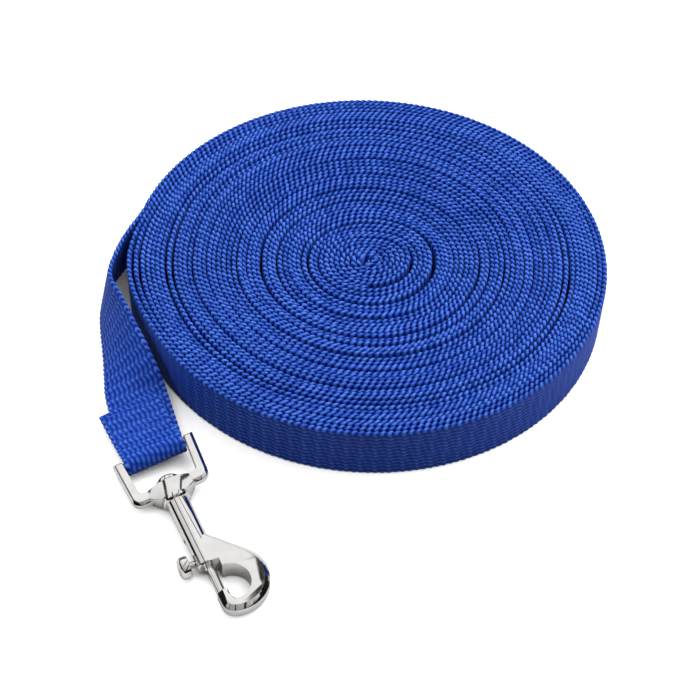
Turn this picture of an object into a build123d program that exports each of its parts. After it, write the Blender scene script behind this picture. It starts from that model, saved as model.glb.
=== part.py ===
from build123d import *
from math import atan2, cos, degrees, pi, radians, sin
import os

# Training leash, 15 m of flat webbing rolled up on edge, with a swivel bolt snap on its outer end.
# Millimetres. +Z is up and Z = 0 is the floor under the roll. The origin is on the innermost turn of
# webbing, in the heart of the roll. The strap unwinds anticlockwise, seen from above.

# Webbing
LEASH_LENGTH = 15000.0        # from the hand loop's fold to the exit; the last turn may stay open
WEBBING_WIDTH = 25.0
WEBBING_THICKNESS = 1.8
TURN_GAP = 0.35               # air between two turns of the roll
HEART_RADIUS = 2.5            # middle of the strap in the tightest half turn
HANDLE_HALF_TURNS = 6         # half turns that the folded hand loop makes at the heart
NEAR_SIDE_SQUEEZE = 0.18      # each turn of the roll lies this much tighter on its -Y side
FAR_ANGLE = 90.0              # half turns meet here and opposite, degrees from +X
EXIT_ANGLE = 166.0            # where the strap leaves the roll, degrees from +X

# Free tail: distance along the roll's wall from the exit, standoff of the strap's middle from the
# wall, and tilt of the strap from lying flat. It leaves the roll standing and ends nearly flat.
TAIL_ROUTE = [
    (20.0, 4.9, 82.0),
    (33.6, 9.1, 78.0),
    (44.3, 10.9, 76.0),
    (53.0, 9.9, 67.0),
    (65.6, 9.3, 54.0),
    (77.9, 10.4, 38.0),
    (86.6, 13.4, 22.0),
]
TAIL_SECTIONS = 26
HOOK_DISTANCE = 116.2         # along the wall to the eye's crossbar
HOOK_STANDOFF = 26.9          # of the eye's crossbar from the wall
HOOK_HEADING = 66.6           # of the snap, from the roll's radius there
STRAP_END_TILT = 8.0          # right edge of the strap's end lifted
SNAP_PITCH = 2.0              # the snap's nose points down to the floor
CROSSBAR_HEIGHT = 6.58

# Fold round the crossbar and its seam
FOLD_BACK = 28.5              # from the crossbar back to the cut end
FOLD_CLOSES = 8.5             # from the crossbar to where the two layers meet
LAYER_GAP = 0.1
SEAM_DISTANCES = [13.4, 15.8, 25.8]   # rows of stitches, from the crossbar
STITCH_LENGTH = 1.9
STITCH_PITCH = 2.8
THREAD = 0.6
SEAM_MARGIN = 2.2
HANDLE_SEAM_STITCHES = 10
HANDLE_SEAM_ROWS = (4.0, 20.0)        # from the end of the hand loop's return leg

# Swivel eye
CROSSBAR_DIAMETER = 3.6
CROSSBAR_CLEARANCE = 0.3
EYE_SIDE_CLEARANCE = 0.7      # strap edge to the eye's arm
EYE_ARM = 3.9                 # width of an arm
EYE_TAPER = 1.3               # each arm leans in by this towards the boss
EYE_THICKNESS = 4.6
EYE_WINDOW = 16.0             # crossbar's axis to the lower bar
EYE_BAR = 4.6                 # width of the lower bar at its ends
EYE_CORNER = 4.2
EYE_CHAMFER = 1.2
EYE_BACK = 0.4                # each arm reaches this far behind the crossbar
BOSS_LENGTH = 7.1
BOSS_HALF_WIDTH = 9.0
BOSS_HEIGHT = 10.2
BOSS_SHOULDER = (5.0, 0.84)    # where the boss's facets meet: aside, and share of its height
BOSS_FACE_WIDTH = 10.4        # of the flat that the collar turns on
BOSS_SWELL = 1.6              # the boss's sides stand out by this close behind its face
BOSS_SWELL_BEHIND = 0.9
BOSS_OVERLAP = 0.4            # the boss starts this far inside the lower bar
BOSS_EDGE_INSET = 0.2

# Swivel rivet
RIVET_SHANK_DIAMETER = 4.4
RIVET_HEAD_DIAMETER = 9.8
RIVET_HEAD_THICKNESS = 2.5
RIVET_HEAD_CHAMFER = 1.1
RIVET_PRESS_DEPTH = 5.0
SWIVEL_RUNNING_CLEARANCE = 0.08
SWIVEL_END_CLEARANCE = 0.2

# Hook body
COLLAR_DIAMETER = 11.4
COLLAR_THICKNESS = 2.0
COLLAR_CHAMFER = 0.6
BARREL_DIAMETER = 9.0
BARREL_LENGTH = 31.7
BARREL_CHAMFER = 0.5
BORE_END_WALL = 1.2           # between the rivet's seat and the bolt's bore
WEB_END_THICKNESS = 7.2       # at the rim; at the barrel the web is as thick as the barrel
WEB_START = 8.6               # before the barrel's nose, where the web's flat meets the barrel's crown
ARM_START = 13.6              # before the barrel's nose, where the arm leaves it
ARM_SEAT = 0.8                # the arm's foot starts this deep in the barrel
ARM_KNEE = (10.4, 9.8)        # from the arm's foot, ahead and aside
BOWL_RADIUS = 7.5
BOWL_AHEAD = 11.2             # bowl's centre ahead of the barrel's nose
BOWL_ASIDE = 4.4              # bowl's centre beside the barrel's axis
RIM_RADIUS = 13.9
RIM_AHEAD = 9.3
RIM_ASIDE = 5.8
RIM_ARC = (120, 50, -14)      # where the rim's round stretch starts, passes and ends, degrees
TIP_TURN = 4.4                # ahead of the tip's face, where the rim runs into the tip
BOWL_CORNER = 3.0
TIP_HALF_WIDTH = 1.95
RIM_CHAMFER_WIDTH = 2.4        # before the flats close in
RIM_CHAMFER_DEPTH = 2.6
TIP_LAND = 1.0                # edges this close to the tip's face stay square

# Bolt, thumb button and spring
BOLT_DIAMETER = 3.6
BOLT_RUNNING_CLEARANCE = 0.08
BOLT_VISIBLE = 12.9           # from the barrel's nose to the hook's tip
BOLT_TIP_GAP = 0.25
BOLT_LENGTH = 26.0
BOLT_STROKE = 9.5
BOLT_CHAMFER = 0.4
BUTTON_BEHIND_NOSE = 3.4
BUTTON_DIAMETER = 8.6
BUTTON_THICKNESS = 3.8
BUTTON_CHAMFER = 0.9
BUTTON_OFFSET = 6.8           # inner face of the disc from the barrel's axis
BUTTON_NECK_DIAMETER = 2.6
BUTTON_NECK_CLEARANCE = 0.3
SPRING_WIRE = 0.4
SPRING_TURNS = 9
SPRING_SIDE_CLEARANCE = 0.15
SPRING_END_CLEARANCE = 0.1

# Worked out from the sizes above
TURN_PITCH = WEBBING_THICKNESS + TURN_GAP
FOLD_RADIUS = CROSSBAR_DIAMETER / 2 + CROSSBAR_CLEARANCE + WEBBING_THICKNESS / 2
EYE_HALF_WIDTH = WEBBING_WIDTH / 2 + EYE_SIDE_CLEARANCE + EYE_ARM
BOSS_FACE = EYE_WINDOW + BOSS_LENGTH
COLLAR_START = BOSS_FACE + SWIVEL_END_CLEARANCE
BARREL_NOSE = COLLAR_START + COLLAR_THICKNESS + BARREL_LENGTH
RIVET_END = COLLAR_START + RIVET_PRESS_DEPTH
BORE_START = RIVET_END + BORE_END_WALL
BOLT_END = BARREL_NOSE + BOLT_VISIBLE
BOLT_START = BOLT_END - BOLT_LENGTH
BUTTON_AXIS = BARREL_NOSE - BUTTON_BEHIND_NOSE
TIP_FACE = BOLT_END + BOLT_TIP_GAP
BORE_RADIUS = BOLT_DIAMETER / 2 + BOLT_RUNNING_CLEARANCE


def heading(angle):
    """Level unit vector at an angle in degrees from +X."""
    return Vector(cos(radians(angle)), sin(radians(angle)))


def half_turn_count():
    """Half turns that the strap's length makes, the first ones two layers thick."""
    radius = HEART_RADIUS
    length = pi * radius
    count = 1
    while length < LEASH_LENGTH:
        radius += TURN_PITCH if count < HANDLE_HALF_TURNS + 2 else TURN_PITCH / 2
        length += pi * radius
        count += 1
    return count - 1


def roll_arcs():
    """Arcs of the strap's middle line from the heart out, as (centre, radius, start angle, sweep).

    They are half circles, apart from the last, which ends at the exit. Turns are two layers thick
    while the hand loop winds, and one turn more passes over its end.
    """
    count = half_turn_count()
    start = FAR_ANGLE - 180 * (count - 1)
    radius = HEART_RADIUS
    centre = heading(start + 90) * -radius
    arcs = [(centre, radius, start, 180)]
    for k in range(1, count):
        start += 180
        starts_near = (count - k) % 2 == 0
        if k < HANDLE_HALF_TURNS + 2:
            growth = TURN_PITCH
        elif starts_near:
            growth = (TURN_PITCH + NEAR_SIDE_SQUEEZE) / 2
        else:
            growth = (TURN_PITCH - NEAR_SIDE_SQUEEZE) / 2
        centre = centre - heading(start) * growth
        radius += growth
        arcs.append((centre, radius, start, 180))
    arcs[-1] = (centre, radius, start, EXIT_ANGLE - FAR_ANGLE)
    return arcs


ARCS = roll_arcs()
ROLL_CENTRE, LAST_RADIUS, _, _ = ARCS[-1]
WALL_RADIUS = LAST_RADIUS + WEBBING_THICKNESS / 2


def beside_wall(distance, standoff):
    """Level point at a distance along the roll's wall from the exit and a standoff from it."""
    angle = EXIT_ANGLE + degrees(distance / WALL_RADIUS)
    return ROLL_CENTRE + heading(angle) * (WALL_RADIUS + standoff)


def snap_frame():
    """Frame of the snap: origin on the crossbar's axis, X to the hook's nose, Y to the right edge."""
    angle = EXIT_ANGLE + degrees(HOOK_DISTANCE / WALL_RADIUS) + HOOK_HEADING
    origin = beside_wall(HOOK_DISTANCE, HOOK_STANDOFF) + Vector(0, 0, CROSSBAR_HEIGHT)
    forward = heading(angle) * cos(radians(SNAP_PITCH)) - Vector(0, 0, sin(radians(SNAP_PITCH)))
    across = heading(angle + 90)
    return Plane(origin=origin, x_dir=forward, z_dir=forward.cross(across))


SNAP = snap_frame().location
STRAP_END = SNAP * Rot(STRAP_END_TILT, 0, 0)    # the strap's end and the eye, with their tilt


def strip_face(arcs, offset):
    """Flat strip of webbing seen end on, along arcs moved outwards by an offset."""
    half = WEBBING_THICKNESS / 2
    outer = [CenterArc(c, r + offset + half, start, sweep) for c, r, start, sweep in arcs]
    inner = [CenterArc(c, r + offset - half, start, sweep) for c, r, start, sweep in arcs]
    ends = [Line(inner[0] @ 0, outer[0] @ 0), Line(inner[-1] @ 1, outer[-1] @ 1)]
    return make_face(Wire(outer + inner + ends))


def standing_strip(face):
    """Strip of webbing standing on the floor."""
    return extrude(face, WEBBING_WIDTH, dir=(0, 0, 1))


def strap_coil():
    """Main leg of the strap, from the hand loop's fold at the heart to the exit."""
    return standing_strip(strip_face(ARCS, 0))


def handle_loop():
    """Fold of the hand loop and its return leg, which lies outside the main leg."""
    leg = strip_face(ARCS[:HANDLE_HALF_TURNS], TURN_PITCH)
    centre, radius, start, _ = ARCS[0]
    middle = centre + heading(start) * (radius + TURN_PITCH / 2)
    wide = (TURN_PITCH + WEBBING_THICKNESS) / 2
    narrow = (TURN_PITCH - WEBBING_THICKNESS) / 2
    outer = CenterArc(middle, wide, start + 180, 180)
    inner = CenterArc(middle, narrow, start + 180, 180)
    ends = [Line(inner @ 0, outer @ 0), Line(inner @ 1, outer @ 1)]
    fold = make_face(Wire([outer, inner] + ends))
    return standing_strip(leg) + standing_strip(fold)


def handle_stitching():
    """Stitches through both legs where the hand loop's return leg is sewn to the strap."""
    centre, radius, start, _ = ARCS[HANDLE_HALF_TURNS - 1]
    middle = radius + TURN_PITCH / 2
    depth = TURN_PITCH + WEBBING_THICKNESS
    step = (WEBBING_WIDTH - 2 * SEAM_MARGIN) / (HANDLE_SEAM_STITCHES - 1)
    stitches = []
    for distance in HANDLE_SEAM_ROWS:
        angle = start + 180 - degrees(distance / radius)
        for k in range(HANDLE_SEAM_STITCHES):
            place = centre + heading(angle) * middle + Vector(0, 0, SEAM_MARGIN + k * step)
            plane = Plane(origin=place, x_dir=heading(angle), z_dir=(0, 0, 1))
            stitches.append(plane.location * Box(depth, THREAD, STITCH_LENGTH))
    return stitches


def tail_frames():
    """Planes across the tail, from the exit to the fold: X across the strap, Z along it."""
    half_width = WEBBING_WIDTH / 2
    end = (STRAP_END * Pos(-FOLD_BACK - LAYER_GAP, 0, -FOLD_RADIUS)).position
    exit_point = ROLL_CENTRE + heading(EXIT_ANGLE) * LAST_RADIUS
    level = [exit_point] + [beside_wall(s, d) for s, d, _ in TAIL_ROUTE] + [Vector(end.X, end.Y)]
    tilts = [90.0] + [tilt for _, _, tilt in TAIL_ROUTE] + [STRAP_END_TILT]
    snap_direction = SNAP.x_axis.direction
    path = Spline(*level, tangents=[heading(EXIT_ANGLE + 90), Vector(snap_direction.X, snap_direction.Y)])
    marks = [path.param_at_point(point) for point in level]
    lift = end.Z - half_width * sin(radians(STRAP_END_TILT)) - WEBBING_THICKNESS / 2
    frames = []
    for k in range(TAIL_SECTIONS + 1):
        at = k / TAIL_SECTIONS
        span = max(i for i in range(len(marks) - 1) if marks[i] <= at + 1e-9)
        share = (at - marks[span]) / (marks[span + 1] - marks[span])
        tilt = radians(tilts[span] + (tilts[span + 1] - tilts[span]) * share)
        along = path % at
        beside = Vector(-along.Y, along.X)
        height = half_width * sin(tilt) + WEBBING_THICKNESS / 2 * cos(tilt) + lift * at ** 3
        across = beside * cos(tilt) + Vector(0, 0, sin(tilt))
        frames.append(Plane(origin=path @ at + Vector(0, 0, height), x_dir=across, z_dir=along))
    last = STRAP_END * Pos(-FOLD_BACK - LAYER_GAP, 0, -FOLD_RADIUS)
    frames[-1] = Plane(origin=last.position, x_dir=last.y_axis.direction, z_dir=last.x_axis.direction)
    return frames


def strap_tail():
    """Free stretch of the strap, which twists from standing on edge to lying flat."""
    sections = [plane * Rectangle(WEBBING_WIDTH, WEBBING_THICKNESS) for plane in tail_frames()]
    return loft(sections, ruled=True)


def hook_end_loop():
    """End of the strap: under the crossbar, round it and back along its own top."""
    low = -FOLD_RADIUS
    seat = low + WEBBING_THICKNESS + LAYER_GAP
    rise = FOLD_RADIUS - seat
    lean = atan2(rise, FOLD_CLOSES)
    top = (-FOLD_RADIUS * sin(lean), FOLD_RADIUS * cos(lean))
    slope_end = (-FOLD_CLOSES - FOLD_RADIUS * sin(lean), seat)
    lower = Line((-FOLD_BACK, low), (0, low))
    bend = ThreePointArc((0, low), (FOLD_RADIUS, 0), top)
    slope = Line(top, slope_end)
    upper = Line(slope_end, (-FOLD_BACK, seat))
    thick = WEBBING_THICKNESS / 2
    layers = []
    for side in (-thick, thick):
        layers.append(offset_path([lower, bend, slope, upper], side))
    ends = [Line(layers[0][0] @ 0, layers[1][0] @ 0), Line(layers[0][-1] @ 1, layers[1][-1] @ 1)]
    face = make_face(Wire(layers[0] + layers[1] + ends))
    strip = Plane.XZ.location * face
    return STRAP_END * Pos(0, WEBBING_WIDTH / 2, 0) * extrude(strip, WEBBING_WIDTH, dir=(0, -1, 0))


def offset_path(edges, side):
    """The fold's line, arc, slope and line moved sideways, joined where the moved lines meet."""
    lower, bend, slope, upper = edges
    low = (lower @ 0).Y - side
    radius = FOLD_RADIUS + side
    slope_direction = (slope @ 1 - slope @ 0).normalized()
    away = Vector(slope_direction.Y, -slope_direction.X)
    first = (slope @ 0) + away * side
    seat = (upper @ 0).Y + side
    last = first + slope_direction * ((first.Y - seat) / -slope_direction.Y)
    start = (lower @ 0).X
    return [
        Line((start, low), (0, low)),
        ThreePointArc((0, low), (radius, 0), first),
        Line(first, last),
        Line(last, (start, seat)),
    ]


def hook_end_stitching():
    """Rows of stitches across the strap through both layers behind the crossbar."""
    depth = 2 * WEBBING_THICKNESS + LAYER_GAP
    height = -FOLD_RADIUS + WEBBING_THICKNESS / 2 + LAYER_GAP / 2
    count = int((WEBBING_WIDTH - 2 * SEAM_MARGIN) / STITCH_PITCH) + 1
    first = -STITCH_PITCH * (count - 1) / 2
    stitches = []
    for distance in SEAM_DISTANCES:
        for k in range(count):
            place = Pos(-distance, first + STITCH_PITCH * k, height)
            stitches.append(STRAP_END * place * Box(THREAD, STITCH_LENGTH, depth))
    return stitches


def swivel_eye():
    """Cast ring: crossbar for the strap, two arms, lower bar and the boss that the rivet turns in."""
    narrow = EYE_HALF_WIDTH - EYE_TAPER
    back = -CROSSBAR_DIAMETER / 2 - EYE_BACK
    lower = EYE_WINDOW + EYE_BAR
    outline = Polyline(
        (back, -EYE_HALF_WIDTH), (back, EYE_HALF_WIDTH), (lower, narrow), (lower, -narrow), close=True
    )
    plate = make_face(outline)
    plate = fillet(plate.vertices().sort_by(Axis.X)[-2:], EYE_CORNER)
    window_start = EYE_HALF_WIDTH - EYE_ARM
    window_end = narrow - EYE_ARM
    window = make_face(Polyline(
        (back, -window_start), (back, window_start), (EYE_WINDOW, window_end),
        (EYE_WINDOW, -window_end), close=True
    ))
    window = fillet(window.vertices().sort_by(Axis.X)[-2:], EYE_CORNER / 2)
    ring = extrude(plate - window, EYE_THICKNESS / 2, both=True)
    rims = ring.edges().filter_by_position(Axis.Z, EYE_THICKNESS / 2, EYE_THICKNESS / 2)
    rims += ring.edges().filter_by_position(Axis.Z, -EYE_THICKNESS / 2, -EYE_THICKNESS / 2)
    outer_rims = [edge for edge in rims if abs(edge.center().Y) > window_end + EYE_ARM / 2
                  or edge.center().X > EYE_WINDOW + EYE_BAR / 2]
    ring = chamfer(outer_rims, EYE_CHAMFER)
    crossbar = Rot(90, 0, 0) * Cylinder(CROSSBAR_DIAMETER / 2, 2 * window_start + EYE_ARM)
    eye = ring + crossbar + eye_boss()
    hole = Pos(EYE_WINDOW + BOSS_LENGTH / 2, 0, 0) * Rot(0, 90, 0) * Cylinder(
        RIVET_SHANK_DIAMETER / 2 + SWIVEL_RUNNING_CLEARANCE, 3 * BOSS_LENGTH
    )
    return STRAP_END * (eye - hole)


def eye_boss():
    """Swelling of the lower bar round the rivet, crescent shaped from above and from the front."""
    half, tall, flat = BOSS_HALF_WIDTH, BOSS_HEIGHT / 2, EYE_THICKNESS / 2 - BOSS_EDGE_INSET
    aside, share = BOSS_SHOULDER
    upper = [(-half, flat), (-aside, share * tall), (0, tall), (aside, share * tall), (half, flat)]
    section = make_face(Polyline(*upper, *[(y, -z) for y, z in reversed(upper)], close=True))
    block = Pos(EYE_WINDOW, 0, 0) * (Plane.YZ.location * extrude(section, BOSS_LENGTH))
    shoulder = EYE_WINDOW + EYE_BAR - BOSS_OVERLAP
    face_half = BOSS_FACE_WIDTH / 2
    swell = (BOSS_FACE - BOSS_SWELL_BEHIND, face_half + BOSS_SWELL)
    plan = make_face(Wire([
        Line((EYE_WINDOW, -half), (shoulder, -half)),
        ThreePointArc((shoulder, -half), (swell[0], -swell[1]), (BOSS_FACE, -face_half)),
        Line((BOSS_FACE, -face_half), (BOSS_FACE, face_half)),
        ThreePointArc((BOSS_FACE, face_half), swell, (shoulder, half)),
        Line((shoulder, half), (EYE_WINDOW, half)),
        Line((EYE_WINDOW, half), (EYE_WINDOW, -half)),
    ]))
    return block & extrude(plan, BOSS_HEIGHT, both=True)


def swivel_rivet():
    """Rivet through the eye's boss, pressed into the hook's collar, so that the hook can turn."""
    shank_start = EYE_WINDOW - SWIVEL_END_CLEARANCE
    length = RIVET_END - shank_start
    shank = Pos(shank_start + length / 2, 0, 0) * Rot(0, 90, 0) * Cylinder(RIVET_SHANK_DIAMETER / 2, length)
    head = Pos(shank_start - RIVET_HEAD_THICKNESS / 2, 0, 0) * Rot(0, -90, 0) * Cylinder(
        RIVET_HEAD_DIAMETER / 2, RIVET_HEAD_THICKNESS
    )
    top = head.edges().sort_by(Axis.X)[0]
    head = chamfer(top, RIVET_HEAD_CHAMFER)
    return SNAP * (head + shank)


def hook_outline():
    """Arm and bowl of the hook seen from above, in the snap's frame."""
    rim = Vector(BARREL_NOSE + RIM_AHEAD, RIM_ASIDE)
    first, middle, last = RIM_ARC
    arm_foot = Vector(BARREL_NOSE - ARM_START, BARREL_DIAMETER / 2 - ARM_SEAT)
    arm_knee = arm_foot + Vector(*ARM_KNEE)
    rim_top = rim + heading(first) * RIM_RADIUS
    rim_low = rim + heading(last) * RIM_RADIUS
    rim_run = heading(first - 90)
    tip_turn = Vector(TIP_FACE + TIP_TURN, -TIP_HALF_WIDTH)
    knee_run = ((rim_top - arm_foot).normalized() + rim_run).normalized()
    return make_face(Wire([
        Line(arm_foot, arm_knee),
        Spline(arm_knee, rim_top, tangents=[knee_run, rim_run]),
        ThreePointArc(rim_top, rim + heading(middle) * RIM_RADIUS, rim_low),
        Spline(rim_low, tip_turn, tangents=[heading(last - 90), heading(180)]),
        Line(tip_turn, (TIP_FACE, -TIP_HALF_WIDTH)),
        Line((TIP_FACE, -TIP_HALF_WIDTH), (TIP_FACE, TIP_HALF_WIDTH)),
        Line((TIP_FACE, TIP_HALF_WIDTH), (BARREL_NOSE, TIP_HALF_WIDTH)),
        Line((BARREL_NOSE, TIP_HALF_WIDTH), (BARREL_NOSE, 0)),
        Line((BARREL_NOSE, 0), (BARREL_NOSE - WEB_START, 0)),
        Line((BARREL_NOSE - WEB_START, 0), arm_foot),
    ]))


def bowl_outline():
    """Open inside of the hook's bowl, in the snap's frame."""
    centre = (BARREL_NOSE + BOWL_AHEAD, BOWL_ASIDE)
    circle = Pos(*centre) * Circle(BOWL_RADIUS)
    above_tip = Pos(centre[0], TIP_HALF_WIDTH + 2 * BOWL_RADIUS) * Rectangle(
        6 * BOWL_RADIUS, 4 * BOWL_RADIUS
    )
    bowl = circle & above_tip
    bowl = fillet(bowl.vertices().sort_by(Axis.X)[-1:], BOWL_CORNER)
    gate = Pos((BARREL_NOSE + TIP_FACE) / 2, TIP_HALF_WIDTH) * Rectangle(
        TIP_FACE - BARREL_NOSE, 2 * TIP_HALF_WIDTH
    )
    return bowl + gate


def hook_body():
    """Casting of the hook: collar, barrel, tapering arm and bowl, bored for the bolt."""
    collar = along_x(COLLAR_DIAMETER, COLLAR_START, COLLAR_THICKNESS)
    collar = chamfer(collar.edges().sort_by(Axis.X)[-1], COLLAR_CHAMFER)
    barrel = along_x(BARREL_DIAMETER, COLLAR_START, BARREL_NOSE - COLLAR_START)
    barrel = chamfer(barrel.edges().sort_by(Axis.X)[-1], BARREL_CHAMFER)
    flat = BARREL_DIAMETER / 2
    plate = extrude(hook_outline(), flat, both=True)
    outer_edges = [
        edge for edge in plate.edges().filter_by_position(Axis.Z, flat, flat)
        + plate.edges().filter_by_position(Axis.Z, -flat, -flat)
        if edge.center().Y > flat or edge.center().X > TIP_FACE + TIP_LAND
    ]
    plate = chamfer(outer_edges, RIM_CHAMFER_DEPTH, RIM_CHAMFER_WIDTH) & web_taper()
    body = collar + barrel + (plate - extrude(bowl_outline(), BARREL_DIAMETER, both=True))
    seat = along_x(RIVET_SHANK_DIAMETER, COLLAR_START, RIVET_PRESS_DEPTH)
    bore = along_x(2 * BORE_RADIUS, BORE_START, BARREL_NOSE - BORE_START)
    return SNAP * (body - seat - bore - button_slot() - bolt_way())


def web_taper():
    """Space between the web's two flats, which close in from the barrel's nose to the rim."""
    start, end = BARREL_NOSE - ARM_START, BARREL_NOSE + RIM_AHEAD + RIM_RADIUS
    deep, thin = BARREL_DIAMETER / 2, WEB_END_THICKNESS / 2
    side = make_face(Polyline(
        (start, deep), (BARREL_NOSE, deep), (end, thin), (end, -thin), (BARREL_NOSE, -deep),
        (start, -deep), close=True
    ))
    return Pos(0, 2 * RIM_RADIUS, 0) * extrude(Plane.XZ.location * side, 4 * RIM_RADIUS)


def along_x(diameter, start, length):
    """Cylinder along the snap's axis."""
    return Pos(start + length / 2, 0, 0) * Rot(0, 90, 0) * Cylinder(diameter / 2, length)


def button_slot():
    """Slot in the barrel's left side for the thumb button's neck, over its whole stroke."""
    reach = BUTTON_NECK_DIAMETER / 2 + BUTTON_NECK_CLEARANCE
    first = BUTTON_AXIS - BOLT_STROKE - reach
    last = BUTTON_AXIS + reach
    middle = (first + last) / 2
    return Pos(middle, -BARREL_DIAMETER / 2, 0) * Box(last - first, BARREL_DIAMETER, 2 * reach)


def bolt_way():
    """Straight way for the bolt between the barrel's nose and the hook's tip."""
    return along_x(2 * BORE_RADIUS, BARREL_NOSE, TIP_FACE - BARREL_NOSE)


def bolt_pin():
    """Sliding bolt that closes the bowl, with a cross hole for the thumb button's neck."""
    pin = along_x(BOLT_DIAMETER, BOLT_START, BOLT_LENGTH)
    pin = chamfer(pin.edges().sort_by(Axis.X)[-1], BOLT_CHAMFER)
    cross_hole = Pos(BUTTON_AXIS, 0, 0) * Rot(90, 0, 0) * Cylinder(BUTTON_NECK_DIAMETER / 2, BOLT_DIAMETER)
    keep = Pos(BUTTON_AXIS, -BOLT_DIAMETER / 2, 0) * Box(BOLT_DIAMETER, BOLT_DIAMETER, BOLT_DIAMETER)
    return SNAP * (pin - (cross_hole & keep))


def thumb_button():
    """Round thumb button on a neck that is pressed into the bolt."""
    neck_length = BUTTON_OFFSET + BUTTON_THICKNESS / 2
    neck = Pos(BUTTON_AXIS, -neck_length / 2, 0) * Rot(90, 0, 0) * Cylinder(
        BUTTON_NECK_DIAMETER / 2, neck_length
    )
    disc = Pos(BUTTON_AXIS, -BUTTON_OFFSET - BUTTON_THICKNESS / 2, 0) * Rot(90, 0, 0) * Cylinder(
        BUTTON_DIAMETER / 2, BUTTON_THICKNESS
    )
    disc = chamfer(disc.edges().sort_by(Axis.Y)[0], BUTTON_CHAMFER)
    return SNAP * (disc + neck)


def bolt_spring():
    """Compression spring in the bore, between its blind end and the bolt."""
    start = BORE_START + SPRING_END_CLEARANCE + SPRING_WIRE / 2
    length = BOLT_START - SPRING_END_CLEARANCE - SPRING_WIRE / 2 - start
    radius = BORE_RADIUS - SPRING_SIDE_CLEARANCE - SPRING_WIRE / 2
    helix = Helix(length / SPRING_TURNS, length, radius)
    section = Plane(origin=helix @ 0, z_dir=helix % 0) * Circle(SPRING_WIRE / 2)
    return SNAP * Pos(start, 0, 0) * Rot(0, 90, 0) * sweep(section, path=helix, is_frenet=True)


def write(node, shape):
    """Write one node's solids to its own STEP file."""
    solids = shape if isinstance(shape, list) else [shape]
    pieces = [solid for item in solids for solid in item.solids()]
    body = pieces[0] if len(pieces) == 1 else Compound(children=pieces)
    body.label = node
    export_step(body, f"parts/{node}.step")


os.makedirs("parts", exist_ok=True)
write("strap_coil", strap_coil())
write("handle_loop", handle_loop())
write("handle_stitching", handle_stitching())
write("strap_tail", strap_tail())
write("hook_end_loop", hook_end_loop())
write("hook_end_stitching", hook_end_stitching())
write("swivel_eye", swivel_eye())
write("swivel_rivet", swivel_rivet())
write("hook_body", hook_body())
write("bolt_pin", bolt_pin())
write("thumb_button", thumb_button())
write("bolt_spring", bolt_spring())
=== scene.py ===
import logging
import math
from dataclasses import dataclass, field
from enum import Enum
from typing import Sequence

import bmesh
import bpy
import numpy as np
from mathutils import Matrix, Vector


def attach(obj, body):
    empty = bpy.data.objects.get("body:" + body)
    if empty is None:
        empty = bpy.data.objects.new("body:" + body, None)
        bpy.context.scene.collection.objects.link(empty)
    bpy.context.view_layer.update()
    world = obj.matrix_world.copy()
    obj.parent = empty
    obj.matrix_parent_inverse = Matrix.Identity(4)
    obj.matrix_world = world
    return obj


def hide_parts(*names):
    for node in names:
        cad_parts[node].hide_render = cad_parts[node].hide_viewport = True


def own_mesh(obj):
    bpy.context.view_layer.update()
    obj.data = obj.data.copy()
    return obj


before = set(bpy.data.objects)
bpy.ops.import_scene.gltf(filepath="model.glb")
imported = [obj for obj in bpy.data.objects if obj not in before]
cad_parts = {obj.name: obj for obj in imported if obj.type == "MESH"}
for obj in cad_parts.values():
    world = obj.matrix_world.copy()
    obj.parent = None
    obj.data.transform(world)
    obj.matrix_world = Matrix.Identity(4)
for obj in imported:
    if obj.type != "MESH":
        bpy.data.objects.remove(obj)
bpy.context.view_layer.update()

# Training leash: 15 m of blue webbing rolled up on edge, with a swivel bolt snap on its free end.
# Metres. The roll stands on z = 0, and the strap unwinds anticlockwise, seen from above.

LOG = logging.getLogger("leash")
MM = 0.001
SEED = 41
MERGE_GAP = 0.002 * MM
UPRIGHT = (0.0, 0.0, 1.0)
WHITE = (1.0, 1.0, 1.0)
AIM_SHIFT = Vector((0.3 * MM, 0.3 * MM, 0.0))


class Body(str, Enum):
    """Moving bodies of the leash."""

    STRAP = "strap"
    EYE = "eye"
    HOOK = "hook"
    BOLT = "bolt"


class Stock(str, Enum):
    """Material slots of the leash."""

    WEBBING = "webbing"
    THREAD = "thread"
    NICKEL = "nickel"
    SPRING = "spring_steel"


class Cover(Enum):
    """How finely a strip's two faces are woven in the mesh."""

    PLAIN = 0
    OUTER = 1
    BOTH = 2


# ---------------------------------------------------------------------------------------- helpers


def smooth_noise(rng: np.random.Generator, knots: int, at: np.ndarray) -> np.ndarray:
    """Random curve through evenly spaced knots, eased between them.

    Args:
        rng: Source of the knots' heights.
        knots: How many knots there are.
        at: Where the curve is read, from 0 to knots - 1.

    Returns:
        Heights from 0 to 1.
    """
    heights = rng.random(knots)
    low = np.clip(np.floor(at).astype(int), 0, knots - 2)
    share = np.clip(at - low, 0.0, 1.0)
    share = share * share * (3 - 2 * share)
    return heights[low] * (1 - share) + heights[low + 1] * share


def ease(value: np.ndarray, start: float, end: float) -> np.ndarray:
    """Smooth step from 0 at start to 1 at end."""
    share = np.clip((value - start) / (end - start), 0.0, 1.0)
    return share * share * (3 - 2 * share)


def unit(vectors: np.ndarray) -> np.ndarray:
    """Vectors scaled to length 1, row by row."""
    return vectors / np.linalg.norm(vectors, axis=-1, keepdims=True)


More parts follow.
